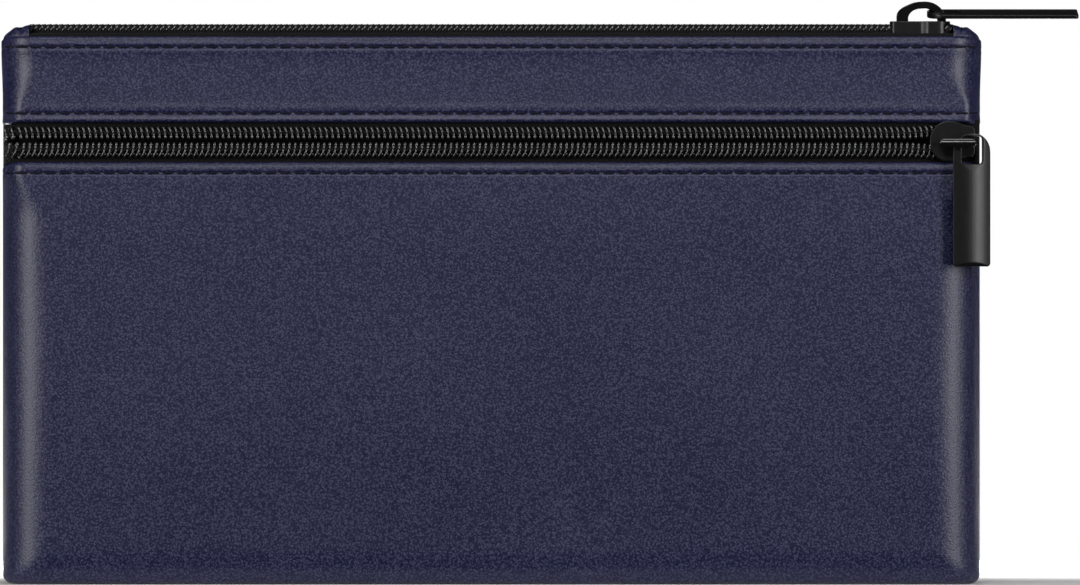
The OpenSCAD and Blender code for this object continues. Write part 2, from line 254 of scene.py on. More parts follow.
def leather_material():
    """Full-grain leather: fine pebbles, a little duller on their tops than in the valleys. Their colour is
    partly the grain's own tone and partly painted light: painted sheen makes the pebble tops paler and
    painted shade darkens the valleys.
    """
    s = Shader("navy_leather", Specular_IOR_Level=0.42)
    wander = s.noise(260, 2)
    shift = s.node("CombineXYZ", {axis: wander for axis in range(3)}).outputs[0]
    shift = s.node("VectorMath", {0: shift, 1: (GRAIN_WANDER,) * 3}, operation="MULTIPLY").outputs[0]
    place = s.node("VectorMath", {0: s.place, 1: shift}, operation="ADD").outputs[0]
    swell = s.between(s.noise(SWELLS, 2, 0.6), 0.34, 0.66, 0.0, 1.0)
    pebble = s.between(s.cells(PEBBLES, place, 0.2), 0.12, 0.58, 1.0, 0.0)
    pores = s.noise(PORES, 2)
    cloud = s.noise(45, 3)
    grain = s.math("ADD", s.math("MULTIPLY", swell, 0.45), s.math("MULTIPLY", pebble, 0.55))
    # The colour's light and dark is partly the grain's own tone and partly painted sheen on the pebble tops
    # and painted shade in the valleys between them.
    grain_and_painted_sheen = s.between(s.math("ADD", grain, s.math("MULTIPLY", cloud, 0.08)), 0.235, 0.76, 0.0, 1.0)
    s.link(s.mix(grain_and_painted_sheen, (0.0022, 0.0032, 0.0265, 1), (0.0370, 0.0392, 0.0880, 1)), "Base Color")
    s.link(s.between(grain, 0.25, 0.75, 0.39, 0.44), "Roughness")
    s.link(s.bump(s.math("ADD", grain, s.math("MULTIPLY", pores, 0.2)), GRAIN_DEPTH), "Normal")
    return s.material


def weave_material(name, dark, light, thread):
    """Cloth woven from threads of that width, in metres."""
    s = Shader(name, Roughness=0.85, Specular_IOR_Level=0.15, Sheen_Weight=0.03, Sheen_Roughness=0.5)
    ribs = []
    for tilt in (math.radians(40), math.radians(-40)):
        inputs = {"Vector": s.stretched(1, 1, 1, tilt), "Scale": 1 / (thread * 2 * math.pi),
                  "Distortion": 0.6, "Detail": 1.0}
        ribs.append(s.node("TexWave", inputs, wave_type="BANDS", bands_direction="Z").outputs["Fac"])
    weave = s.math("MULTIPLY", ribs[0], ribs[1])
    fuzz = s.noise(3200, 3)
    height = s.math("ADD", weave, s.math("MULTIPLY", fuzz, 0.3))
    s.link(s.mix(s.between(height, 0.1, 1.1, 0, 1), (*dark, 1), (*light, 1)), "Base Color")
    s.link(s.bump(height, 0.00012, 0.9), "Normal")
    return s.material


def thread_material(name, dark, light):
    """Twisted thread with its fibres along the bag."""
    s = Shader(name, Roughness=0.65, Specular_IOR_Level=0.18)
    fibre = s.noise(1.0, 3, 0.6, s.stretched(1500, 5200, 5200))
    s.link(s.mix(fibre, (*dark, 1), (*light, 1)), "Base Color")
    s.link(s.bump(fibre, 0.00005, 0.8), "Normal")
    return s.material


def nylon_material():
    """Glossy black monofilament."""
    s = Shader("black_nylon", Specular_IOR_Level=0.75, Coat_Weight=0.35, Coat_Roughness=0.2)
    haze = s.noise(900, 3)
    s.link(s.mix(haze, (0.0025, 0.0025, 0.0030, 1), (0.0080, 0.0080, 0.0088, 1)), "Base Color")
    s.link(s.between(haze, 0.3, 0.7, 0.24, 0.36), "Roughness")
    s.link(s.bump(haze, 0.00003, 0.5), "Normal")
    return s.material


def metal_material(name, specular, gloss):
    """Black-coated die-cast metal; gloss is its lowest and highest roughness."""
    s = Shader(name, Metallic=0.10, Specular_IOR_Level=specular)
    cast = s.noise(520, 4, 0.6)
    spot = s.noise(2400, 2)
    s.link(s.mix(cast, (0.0008, 0.0008, 0.0010, 1), (0.0036, 0.0036, 0.0042, 1)), "Base Color")
    s.link(s.between(s.math("ADD", cast, spot), 0.6, 1.4, *gloss), "Roughness")
    s.link(s.bump(s.math("ADD", cast, s.math("MULTIPLY", spot, 0.5)), 0.00002, 0.15), "Normal")
    return s.material


leather = leather_material()
YARN = 0.00035
tape_cloth = weave_material("black_tape", (0.0020, 0.0020, 0.0024), (0.0085, 0.0085, 0.0098), YARN)
lining_cloth = weave_material("black_lining", (0.0050, 0.0050, 0.0058), (0.0200, 0.0200, 0.0220), YARN)
thread = thread_material("navy_thread", (0.0015, 0.0016, 0.0040), (0.0070, 0.0075, 0.0170))
zip_thread = thread_material("black_thread", (0.0030, 0.0030, 0.0033), (0.0140, 0.0140, 0.0150))
nylon = nylon_material()
metal = metal_material("black_satin_metal", 0.34, (0.32, 0.38))
worn_metal = metal_material("black_worn_metal", 0.80, (0.15, 0.19))


# ---------------------------------------------------------------- the bag's form

FOOT_ROUND = 10.0
FOOT_R = 2.6
FOOT_NARROWED = 1.0
TOP_WIDENED = 0.4
SEAM_R = 0.95
SEAM_GAP = 0.1
DEPTH = [(FOOT_ROUND, 10.0), (45, 10.3), (95, 9.95), (ZIP_Z, 9.65), (151, 9.25)]


def corner_rounds(beside_zip):
    """How far an upright corner's rounding runs along the face, by height, tighter beside the front zip."""
    return [(0, 9.0), (FOOT_ROUND, 13.5), (60, 14.5), (104, 13.5), (118, beside_zip), (136, beside_zip),
            (148, 11.0), (156, 9.0)]


ROUND_LEFT, ROUND_RIGHT = corner_rounds(6.5), corner_rounds(5.0)
ROUND_BACK = [(0, 9.0), (FOOT_ROUND, 13.5), (60, 14.5), (104, 13.5), (156, 9.0)]
ROLL_COLS, ARC_COLS, FLAT_COLS = 3, 16, 430

# Stitch grooves, and how far the folded edges dip where they reach the side seams
GROOVE_HALF, GROOVE_DEEP, GROOVE_PUCKER = 0.42, 0.44, 0.08
CREST_DIP, POCKET_DIP, BAND_DIP = 0.75, 0.9, 0.8
WAVE_HEIGHT = 0.10

rng = np.random.default_rng(41)
WAVES = [(rng.uniform(0.02, 0.09), rng.uniform(-0.07, 0.07), rng.uniform(0, 6.28), rng.uniform(0.4, 1.0))
         for _ in range(9)]


def body_depth(z):
    """Distance of the outer face from the middle plane at height z."""
    full = eased(z, DEPTH)
    low = np.clip((FOOT_ROUND - np.asarray(z, float)) / FOOT_ROUND, 0, 1)
    base = BASE_Y - FOOT_NARROWED
    return base + (full - base) * np.sqrt(1 - low ** 2)


def half_width(z):
    """Distance of the side seams from the middle at height z."""
    z = np.asarray(z, float)
    low = np.clip(FOOT_R - z, 0, FOOT_R)
    return HALF_W - FOOT_R + np.sqrt(FOOT_R ** 2 - low ** 2) + TOP_WIDENED * ease((z - 138) / 14)


def section(z, back=False):
    """The bag's outline at height z, from the left seam round the face to the right seam: x, distance from
    the middle plane, and the outward direction. Columns are shared by every height."""
    b, w = float(body_depth(z)), float(half_width(z))
    sides = []
    for knots in (ROUND_BACK, ROUND_BACK) if back else (ROUND_LEFT, ROUND_RIGHT):
        a = float(eased(z, knots))
        end = math.acos((SEAM_R + SEAM_GAP) / b)
        phi = np.linspace(0, end, ARC_COLS)
        x, y = w - a + a * np.sin(phi), b * np.cos(phi)
        nx, ny = np.sin(phi) / a, np.cos(phi) / b
        psi = np.radians([35, 65, 90])
        x = np.concatenate([x, x[-1] - SEAM_R + SEAM_R * np.cos(psi)])
        y = np.concatenate([y, y[ARC_COLS - 1] - SEAM_R * np.sin(psi)])
        nx, ny = np.concatenate([nx, np.cos(psi)]), np.concatenate([ny, 0 * psi + 0.15])
        n = np.hypot(nx, ny)
        sides.append((x, y, nx / n, ny / n, w - a))
    flat = np.linspace(-sides[0][4], sides[1][4], FLAT_COLS)[1:-1]
    left, right = sides
    line = np.stack([np.concatenate([-left[0][::-1], flat, right[0]]),
                     np.concatenate([left[1][::-1], flat * 0 + b, right[1]]),
                     np.concatenate([-left[2][::-1], flat * 0, right[2]]),
                     np.concatenate([left[3][::-1], flat * 0 + 1, right[3]])], -1)
    return line, along(line)


def face_relief(u, z, rows, edges, phase):
    """How far the leather stands out or in, u along the face: slow waves, stitch grooves and the rolls of
    the edges, given as (height of the crest, how far it stands out, its spread)."""
    calm = ease((CREST - 26 - z) / 30) * ease(z / 14) * ease((HALF_W - 6 - np.abs(u)) / 40)
    waves = sum(h * np.sin(ku * u + kz * z + p + phase) for ku, kz, p, h in WAVES)
    out = WAVE_HEIGHT * waves * calm
    at_seam = 1 - 0.7 * ease((np.abs(u) - (HALF_W - 14)) / 13)
    pucker = np.cos(2 * math.pi * u / STITCH_PITCH)
    uneven = 0.8 + 0.2 * np.sin(0.11 * u + 1.3 * phase) * np.sin(0.043 * u + 2)
    fading = np.clip(1.35 * at_seam - 0.35, 0.15, 1) * uneven
    for row in rows:
        groove = np.exp(-np.abs((z - row) / GROOVE_HALF) ** 3)
        out = out - groove * (GROOVE_DEEP + GROOVE_PUCKER * pucker) * fading
    for crest, height, spread in edges:
        out = out + height * at_seam * uneven * (1 + 0.12 * pucker) * np.exp(-((z - crest) / spread) ** 2)
    return out


def panel_points(stations, back, rows, edges, phase):
    """Lattice of a panel. A station is (height, depth below the outer face, underside run 0 to 2)."""
    lattice = []
    seam = np.zeros(2 * (ARC_COLS + ROLL_COLS) + FLAT_COLS - 2)
    seam[:ROLL_COLS] = seam[-ROLL_COLS:] = 1
    for z, deep, under in stations:
        line, u = section(max(z, 0), back)
        x, y, nx, ny = line.T
        relief = face_relief(u, z, rows, edges, phase) * (1 - seam) if under == 0 else 0 * x
        inward = deep * (1 - 0.75 * seam)
        px, py = x + nx * (relief - inward), y + ny * (relief - inward)
        out = np.abs(x) - HALF_W
        height = z - CREST_DIP * ease((out + 3) / 3) * ease((z - (CREST - 8)) / 7)
        height = height - POCKET_DIP * ease((out + 1.8) / 1.8) * ease((z - (LOWER - 4)) / 3.5) * (z <= LOWER)
        height = height - BAND_DIP * ease((out + 5) / 4) * ease((UPPER + 3 - z) / 2.5) * (z >= BAND_LOW)
        if under > 0:
            py, height = y * (1 - under), np.full_like(x, deep)
            px = x - nx * min(deep, 1.0)
        lattice.append(np.stack([px, py * (1 if back else -1), height], -1))
    return np.array(lattice)


def crown(edge, direction, rise=FOLD / 2, steps=9):
    """Stations round a folded edge, from the outer face to the inner. Direction 1 is an upper edge."""
    r = FOLD / 2
    a = np.linspace(0, math.pi, steps)
    return [(edge - direction * (rise - rise * math.sin(t)), r - r * math.cos(t), 0) for t in a]


def heights(low, high, *dense):
    """Heights from low to high, closer together near the dense places."""
    out, z = [], low
    while z < high:
        out.append(z)
        near = min(abs(z - d) for d in dense)
        z += 0.2 if near < 1.0 else 0.36 if near < 3.3 else 2.6
    return out + [high]


# ---------------------------------------------------------------- leather panels

band_top_row, band_low_row = CREST - TOP_STITCH_SET, BAND_LOW + LOW_STITCH_SET
pocket_row = LOWER - POCKET_STITCH_SET
# Rolls of the leather beside the stitch rows: height of the crest, how far it stands out, its spread
top_rolls = [(CREST - 2.25, 0.20, 0.9), (band_top_row - 1.3, 0.16, 0.8)]
band_rows = [band_top_row, band_low_row]
band_edges = top_rolls + [(BAND_LOW + 0.75, 0.36, 1.05), (band_low_row + 1.6, 0.10, 0.9)]
pocket_edges = [(LOWER - 2.4, 0.15, 0.9), (pocket_row - 1.4, 0.12, 0.9)]

upright = FOLD / 2
PRESSED = 0.75          # rise of the band's and the back's folds, pressed flatter than the pocket's
foot = [(0.0, 0.0, t) for t in np.linspace(2, 0.1, 12)]
foot_rise = [(FOOT_ROUND * (1 - math.cos(t)), 0.0, 0) for t in np.linspace(0.0, math.pi / 2, 12)[:-1]]


def mirrored(stations, deep):
    """The same heights on the inner side of the leather, in reverse."""
    return [(max(z, deep), deep, 0) for z, _, under in stations[::-1] if under == 0]


front_outer = foot_rise + [(z, 0.0, 0) for z in heights(FOOT_ROUND, POCKET_TOP - upright - 0.2, pocket_row)]
front_low = [s for s in front_outer if s[0] < LOWER - FOLD_DEPTH]
front_stations = (foot + front_outer + crown(POCKET_TOP, 1)
                  + [(z, FOLD, 0) for z in np.linspace(LOWER - 2, LOWER - FOLD_DEPTH, 5)]
                  + [(LOWER - FOLD_DEPTH - 0.3, LEATHER, 0)] + mirrored(front_low[::2], LEATHER)
                  + [(0.0, LEATHER, t) for t in np.linspace(0.2, 1.98, 8)])

parts = Parts()
parts.lattice(panel_points(front_stations, False, [pocket_row], pocket_edges, 0.0),
              loop_rows=True, cap_cols=True)
piece("front_leather", parts, leather, "bag", ["front_panel"])

band_heights = heights(BAND_LOW + PRESSED + 0.2, CREST - PRESSED - 0.2, band_low_row, band_top_row)
band_outer = [(z, 0.0, 0) for z in band_heights]
band_stations = (band_outer + crown(CREST, 1, PRESSED)
                 + [(z, FOLD, 0) for z in np.linspace(CREST - 2, CREST - FOLD_DEPTH + 0.6, 4)]
                 + [(CREST - FOLD_DEPTH, LEATHER, 0), (UPPER + FOLD_DEPTH, LEATHER, 0)]
                 + [(z, FOLD, 0) for z in np.linspace(UPPER + FOLD_DEPTH - 0.6, UPPER + 2, 4)]
                 + crown(BAND_LOW, -1, PRESSED)[::-1])
parts = Parts()
parts.lattice(panel_points(band_stations, False, band_rows, band_edges, 1.7), loop_rows=True, cap_cols=True)
piece("band_leather", parts, leather, "bag", ["upper_band"])

back_rise = [(max(0.15, z), d, u) for z, d, u in foot_rise]
back_outer = back_rise + [(z, 0.0, 0) for z in heights(FOOT_ROUND, CREST - PRESSED - 0.2, band_top_row)]
back_low = [s for s in back_outer if s[0] < CREST - FOLD_DEPTH]
back_stations = (back_outer + crown(CREST, 1, PRESSED)
                 + [(z, FOLD, 0) for z in np.linspace(CREST - 2, CREST - FOLD_DEPTH, 5)]
                 + [(CREST - FOLD_DEPTH - 0.3, LEATHER, 0)] + mirrored(back_low[::2], LEATHER))
parts = Parts()
parts.lattice(panel_points(back_stations, True, [band_top_row], top_rolls, 3.1),
              loop_rows=True, cap_cols=True)
piece("back_leather", parts, leather, "bag", ["back_panel"], flip=True)


# ---------------------------------------------------------------- stitching

THREAD_R = 0.20
PLY_APART = 0.15
STITCH_LONG, TAB_STITCH_LONG = 3.6, 3.0


def add_stitch(parts, middle, along, out, length):
    """One stitch of two-ply thread: it rises from a hole, lies along the surface and dives again."""
    t = np.linspace(-1, 1, 11)
    arch = 0.10 - 0.62 * np.abs(t) ** 5
    core = middle + np.outer(t * length / 2, along) + np.outer(arch, out)
    across = np.cross(along, out)
    for ply in (0, math.pi):
        turn = t * 1.6 * math.pi + ply
        strand = core + PLY_APART * (np.outer(np.cos(turn), across) + np.outer(np.sin(turn), out))
        parts.tube(strand, THREAD_R, 6)


def face_row(name, node, z, back, rows, edges, phase):
    """A row of stitches sunk in its groove, from side seam to side seam."""
    parts = Parts()
    line, u = section(z, back)
    sign = 1 if back else -1
    n = int((u[-1] - 4.6) / STITCH_PITCH)
    for k in range(-n, n + 1):
        at = k * STITCH_PITCH
        x, y, nx, ny = (np.interp(at, u, line[:, i]) for i in range(4))
        out = float(face_relief(np.array(at), z, rows, edges, phase)) + 0.17
        middle = np.array([x + nx * out, sign * (y + ny * out), z])
        add_stitch(parts, middle, np.array([ny, -sign * nx, 0]), np.array([nx, sign * ny, 0]), STITCH_LONG)
    return piece(name, parts, thread, "bag", [node])


face_row("stitches_band_top", "band_top_stitching", band_top_row, False, band_rows, band_edges, 1.7)
face_row("stitches_band_low", "band_bottom_stitching", band_low_row, False, band_rows, band_edges, 1.7)
face_row("stitches_pocket_edge", "pocket_edge_stitching", pocket_row, False, [pocket_row], pocket_edges, 0.0)
face_row("stitches_back_top", "back_top_stitching", band_top_row, True, [band_top_row], top_rolls, 3.1)


# ---------------------------------------------------------------- zip tapes

TAPE = 0.45
TAPE_EDGE = 0.95


def top_tape(sign):
    """Flat under the coil, over the inside of the fold and down behind it."""
    r = 0.9
    edge_y, leg = TAPE_EDGE, LEG_Y - 0.02
    turn = np.linspace(0, math.pi / 2, 7)
    bend = [(leg - r + r * math.sin(t), TOP_SEAT - r + r * math.cos(t)) for t in turn]
    outer = [(y, TOP_SEAT) for y in np.linspace(edge_y, leg - r, 6)[:-1]] + bend
    outer += [(leg, z) for z in np.linspace(TOP_SEAT - 2, TOP_SEAT - 11, 5)]
    inner = [(leg - TAPE, z) for z in np.linspace(TOP_SEAT - 11, TOP_SEAT - 2, 5)]
    q = r - TAPE
    turn = np.linspace(math.pi / 2, 0, 5)
    inner += [(leg - r + q * math.sin(t), TOP_SEAT - r + q * math.cos(t)) for t in turn]
    inner += [(y, TOP_SEAT - TAPE) for y in np.linspace(leg - r, edge_y, 6)[1:]]
    loop = np.array(outer + inner)
    xs = np.linspace(-TAB_X - 0.1, TAB_X + 0.1, 160)
    sag = 0.10 * np.sin(0.05 * xs + sign) * np.sin(0.21 * xs)
    points = np.zeros((len(xs), len(loop), 3))
    points[..., 0] = xs[:, None]
    points[..., 1] = sign * loop[None, :, 0]
    mid = np.exp(-((loop[:, 0] - 5.0) / 0.9) ** 2)
    points[..., 2] = loop[None, :, 1] + sag[:, None] * mid[None]
    parts = Parts()
    parts.lattice(points, loop_cols=True, cap_rows=True)
    return parts


piece("tape_top_front", top_tape(-1), tape_cloth, "bag", ["top_zip_tape_front"])
piece("tape_top_back", top_tape(1), tape_cloth, "bag", ["top_zip_tape_back"], flip=True)


def zip_line():
    """The front tape's outer face at the zip's height, as points and outward directions along its run.
    It bends back to the side seams, gently at the left and sharply beside the slider at the right."""
    y0 = -FRONT_SEAT
    rows = []
    for sign, a, b in ((-1, 5.4, y0 - 1.0), (1, 1.3, 1.3)):
        end = HALF_W - 0.3
        phi = np.linspace(0, math.pi / 2, 10)
        x, y = end - a + a * np.sin(phi), y0 - b + b * np.cos(phi)
        nx, ny = np.sin(phi) / a, np.cos(phi) / b
        if b < y0 - 1.5:
            tail = np.linspace(y0 - b, 0.7, 5)[1:]
            x, y = np.append(x, tail * 0 + end), np.append(y, tail)
            nx, ny = np.append(nx, tail * 0 + 1), np.append(ny, tail * 0)
        n = np.hypot(nx, ny)
        rows.append(np.stack([sign * x, -y, sign * nx / n, -ny / n], -1))
    flat = np.linspace(rows[0][0, 0], rows[1][0, 0], 150)[1:-1]
    middle = np.stack([flat, flat * 0 - y0, flat * 0, flat * 0 - 1], -1)
    return np.vstack([rows[0][::-1], middle, rows[1]])


LINE = zip_line()


def front_tape(sign):
    """One tape of the front zip; sign -1 is the lower."""
    x, y, nx, ny = LINE.T
    steps = np.linspace(0, 1, 12)
    far = ease((np.abs(x) - (HALF_W - 9)) / 5)
    reach = (UPPER - LOWER) / 2 + 9.2 - 8.6 * far
    loop = []
    for deep, run in ((0.0, steps), (TAPE, steps[::-1])):
        for t in run:
            near = TAPE_EDGE * (1 - ease((np.abs(x) - (HALF_W - 3.3)) / 2.4)) + 0.02
            z = ZIP_Z + sign * (near + (reach - near) * t)
            loop.append(np.stack([x - nx * deep, y - ny * deep, z], -1))
    parts = Parts()
    parts.lattice(np.array(loop), loop_rows=True, cap_cols=True)
    return parts


piece("tape_front_upper", front_tape(1), tape_cloth, "bag", ["front_zip_tape_upper"])
piece("tape_front_lower", front_tape(-1), tape_cloth, "bag", ["front_zip_tape_lower"], flip=True)


# ---------------------------------------------------------------- coils

PITCH = 1.65
MESH = 1.1
ROWS_APART = 0.75
PARTED = 0.4
PART_RUN, TOP_PART, FRONT_PART = 5.2, 7.6, 1.5


def parting(u, start):
    """Distance of a row's inner edge from the centreline, u from a slider's narrow end."""
    return -MESH / 2 + (MESH / 2 + ROWS_APART) * ease((u - start) / PART_RUN)


def top_edge(x):
    return parting(x - TOP_SLIDER[0][0], TOP_PART)


def front_edge(x):
    u = FRONT_SLIDER[1][0] - x
    length = FRONT_SLIDER[1][0] - FRONT_SLIDER[0][0]
    return parting(u, FRONT_PART) - (ROWS_APART - PARTED) * ease((u - length) / 6)


# One turn of the coil: along the zip, out from the row's inner edge, up from the tape, wire radius.
# It comes in over the top, turns round the head, goes out underneath and rises to the next turn.
TURN_OUT = [(0.0, 0.62, 1.86, 0.38), (0.0, 0.38, 1.42, 0.38), (0.0, 0.40, 0.84, 0.38),
            (0.02, 0.85, 0.45, 0.35), (0.10, 2.0, 0.37, 0.33), (0.10, 3.1, 0.46, 0.35),
            (0.22, 3.54, 0.84, 0.42), (0.62, 3.56, 1.42, 0.44)]
# Chain stitches over a row, one to a turn, and the bights that tie the top zip's rows to their tapes
ZIGZAG = [(-0.62, 1.62, 1.80), (-0.24, 1.88, 2.28), (0.20, 2.20, 2.32), (0.52, 2.50, 1.96),
          (0.76, 2.05, 1.70)]
BIGHT = [(-0.95, 3.45, 0.10), (-0.72, 3.86, 0.62), (-0.36, 3.88, 1.20), (-0.06, 3.62, 1.72),
         (0.16, 3.0, 2.10)]
# The cord inside a row, and the dark cord along its outer edge that stands for the tape's folded edge and
# darkens the row's foot as painted shade: out from the row's inner edge, up from the tape
CORE_CORD, SHADE_EDGE_CORD = (2.2, 0.95), (3.70, 0.20)


def coil_row(first, last, inner_edge, place, slant, reach, closer):
    """The wound row with its swaged heads, the core cord and threads that hold it to the tape, and a dark
    cord along its outer foot that stands for the tape's edge and darkens the foot as painted shade.
    place(x, out, up) is a point; slant is how far back the upper leg lies at its outer end and at its
    middle; reach stretches the row outwards and closer moves it towards the other row."""
    def edge(x):
        return inner_edge(x) - closer

    xs = np.arange(first, last, PITCH)
    back, half_back = slant
    turn_in = [(-back, 3.34, 1.98, 0.42), (-half_back, 2.5, 2.08, 0.33), (-half_back / 5, 1.5, 2.04, 0.33)]
    turn = turn_in + TURN_OUT
    path, radius = [], []
    for x in xs:
        for dx, out, up, r in turn:
            path.append((x + dx, out * reach + float(edge(x)), up))
            radius.append(r)
    smooth_path = through(path, 2)
    wire = np.interp(np.arange(len(smooth_path)) / 2, np.arange(len(radius)), radius)
    parts = Parts()
    parts.tube(place(smooth_path), wire, 7)
    for x in xs:
        e = float(edge(x))
        spots = place(np.array([(x, e + 0.80, 1.98), (x - half_back / 4, e + 1.50, 2.02),
                                (x + 0.50, e + 0.80, 1.98), (x, e + 0.80, 2.36)]))
        parts.bead(spots[0], spots[1] - spots[0], spots[2] - spots[0], spots[3] - spots[0])

    def follow(points):
        points = np.array(points, float)
        points[:, 1] += np.array([float(edge(x)) for x in points[:, 0]])
        return points

    cords_and_shade_cord = Parts()
    wide = (0, 0, 1) if place.front else (0, 1, 0)
    cords_and_shade_cord.tube(place(follow([(x, *CORE_CORD) for x in xs])), 0.74, 10, 1.35, across=wide)
    # The dark cord along the row's outer foot is painted shade where the coil meets its tape.
    cords_and_shade_cord.tube(place(follow([(x, *SHADE_EDGE_CORD) for x in xs])), 0.30, 8)
    zigzag = [(x + dx, out, up) for x in xs for dx, out, up in ZIGZAG]
    threads = Parts()
    threads.tube(place(follow(through(zigzag, 2))), 0.20, 6)
    if not place.front:
        for x in xs:
            bight = [(x + dx, out, up) for dx, out, up in BIGHT]
            threads.tube(place(follow(through(bight, 3))), 0.27, 7)
    return parts, cords_and_shade_cord, threads


def on_top(sign):
    def place(p):
        return np.stack([p[:, 0], sign * p[:, 1], TOP_SEAT + 1.08 * p[:, 2]], -1)
    place.front = False
    return place


RUN = along(LINE)


def on_front(sign):
    def place(p):
        x, y, nx, ny = (np.interp(p[:, 0], RUN, LINE[:, i]) for i in range(4))
        n = np.hypot(nx, ny)
        return np.stack([x + nx / n * p[:, 2], y + ny / n * p[:, 2], ZIP_Z + sign * p[:, 1]], -1)
    place.front = True
    return place


front_first = float(np.interp(-HALF_W + 2.6, LINE[:, 0], RUN))
front_last = FRONT_SLIDER[1][0] - 0.4
rows = [
    ("top_back", "top_coil_back", -COIL_END, COIL_END + 0.5, top_edge, on_top(1), (0.55, 0.34), 1, 0),
    ("top_front", "top_coil_front", -COIL_END + PITCH / 2, COIL_END + 0.5, top_edge, on_top(-1),
     (0.55, 0.34), 1, 0),
    ("front_upper", "front_coil_upper", front_first, front_last, front_edge, on_front(1),
     (0.42, 0.20), 1, 0),
    ("front_lower", "front_coil_lower", front_first + PITCH / 2, front_last, front_edge, on_front(-1),
     (0.85, 0.28), 1.20, 0.26)]
for name, node, first, last, edge, place, slant, reach, closer in rows:
    coil, cords_and_shade_cord, threads = coil_row(first, last, edge, place, slant, reach, closer)
    piece("coil_" + name, coil, nylon, "bag", [node])
    piece("coil_cords_" + name, cords_and_shade_cord, tape_cloth, "bag", [])
    piece("coil_thread_" + name, threads, zip_thread, "bag", [])


# ---------------------------------------------------------------- end tabs

def inner_crest(x):
    """Distance from the middle plane to the inner side of the folded crest, at x from the middle."""
    line, _ = section(CREST)
    return np.interp(x, line[-ARC_COLS - ROLL_COLS - 9:-ROLL_COLS, 0],
                     (line[:, 1] - FOLD * line[:, 3])[-ARC_COLS - ROLL_COLS - 9:-ROLL_COLS])


def zip_tab(sign):
    """Leather tab over a zip's end: an arch between the crests that slopes down to the side seam."""
    knots = [(TAB_X, TOP_SEAT + 2.5), (TAB_X + 1.6, TOP_SEAT + 2.1), (TAB_X + 2.5, TOP_SEAT + 1.55),
             (TAB_X + 3.2, TOP_SEAT + 1.80), (HALF_W - 3.5, TOP_SEAT + 1.70), (HALF_W - 2.0, TOP_SEAT + 0.60),
             (HALF_W - 1.0, TOP_SEAT - 0.2), (HALF_W - 0.3, TOP_SEAT - 1.2), (HALF_W - 0.2, TOP_SEAT - 2.9)]
    places = through([(x, 0, z) for x, z in knots], 4)
    base = CREST - 2.6
    angles = np.linspace(0, math.pi, 25)
    skins = []
    for skin in (0.0, 1.0):
        rows = []
        for x, _, top in places:
            half = max(float(inner_crest(x)) + 0.1, 1.3) - skin
            high = max(top - skin - base, 0.3)
            y = half * np.sign(np.cos(angles)) * np.abs(np.cos(angles)) ** 0.55
            z = base + high * np.abs(np.sin(angles)) ** 0.5
            rows.append(np.stack([0 * y + sign * x, y, z], -1))
        skins.append(np.array(rows))
    outer, inner = skins
    parts = Parts()
    parts.lattice(np.concatenate([outer, inner[:, ::-1]], axis=1), loop_cols=True)
    rows, cols = outer.shape[:2]
    wide = 2 * cols
    for row in (0, rows - 1):
        faces = [[row * wide + i, row * wide + i + 1, row * wide + wide - 2 - i, row * wide + wide - 1 - i]
                 for i in range(cols - 1)]
        parts.faces += faces if row else [f[::-1] for f in faces]
    return parts


for name, node, sign in (("left", "left_zip_tab", -1), ("right", "right_zip_tab", 1)):
    piece("tab_leather_" + name, zip_tab(sign), leather, "bag", [node], flip=sign > 0)

tab_threads = Parts()
for sign in (-1, 1):
    x = sign * (TAB_X + 2.5)
    for y in (-3.6, 0.0, 3.6):
        middle = np.array([x, y, TOP_SEAT + 1.45 - 0.12 * (abs(y) > 1)])
        add_stitch(tab_threads, middle, np.array([0, 1.0, 0]), np.array([0, 0, 1.0]), TAB_STITCH_LONG)
piece("stitches_tabs", tab_threads, thread, "bag", ["tab_stitching"])


# ---------------------------------------------------------------- sliders, bails and pullers

# Small departures of the castings from the frame's solids, in millimetres and degrees
FLANGE_DEEPER, ARCH_LEAN, BAR_LOWER, BAR_CROWN = 0.62, 1.1, 0.5, 0.45
PULLER_ROLL, PULLER_THICKER, PULLER_LOWER, PULLER_CROWN = 3.5, 1.03, 0.25, 0.55

def cast_piece(name, node, body, voxel, rounds, shape=None, material=metal):
    """A die-cast piece: the CAD node's own form with its edges rounded. shape moves its points, in mm."""
    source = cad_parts[node]
    mesh = source.data.copy()
    mesh.materials.clear()
    mesh.materials.append(material)
    obj = bpy.data.objects.new(name, mesh)
    bpy.context.scene.collection.objects.link(obj)
    remesh = obj.modifiers.new("even", "REMESH")
    remesh.mode = "VOXEL"
    remesh.voxel_size = voxel * MM
    remesh.use_smooth_shade = True
    soften = obj.modifiers.new("soften", "SMOOTH")
    soften.factor = 0.5
    soften.iterations = rounds
    bpy.context.view_layer.update()
    made = bpy.data.meshes.new_from_object(obj.evaluated_get(bpy.context.evaluated_depsgraph_get()))
    made.name = name
    if shape:
        points = np.zeros(len(made.vertices) * 3)
        made.vertices.foreach_get("co", points)
        made.vertices.foreach_set("co", (shape(points.reshape(-1, 3) / MM) * MM).ravel())
    made.polygons.foreach_set("use_smooth", [True] * len(made.polygons))
    obj.modifiers.clear()
    obj.data = made
    if not made.materials:
        made.materials.append(material)
    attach(obj, body)
    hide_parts(node)
    return obj


def top_body(p):
    """Flanges that reach down to the tape, and a body that flares only in its last third."""
    up = p[:, 2] - TOP_SEAT
    p[:, 2] -= FLANGE_DEEPER * ease((2.0 - up) / 1.2) * (up > 0.2)
    u = p[:, 0] - TOP_SLIDER[0][0]
    flare = -MESH / 2 + (MESH / 2 + ROWS_APART) * ease((u - 8.4) / 2.9)
    p[:, 1] *= (flare + 5.0) / (parting(u, 3.4) + 5.0)
    return p


def top_arch(p):
    """The arch leans a little towards the puller."""
    middle = (p[:, 0].min() + p[:, 0].max()) / 2
    p[:, 0] += ARCH_LEAN * ease((middle - p[:, 0]) / 5.0)
    return p


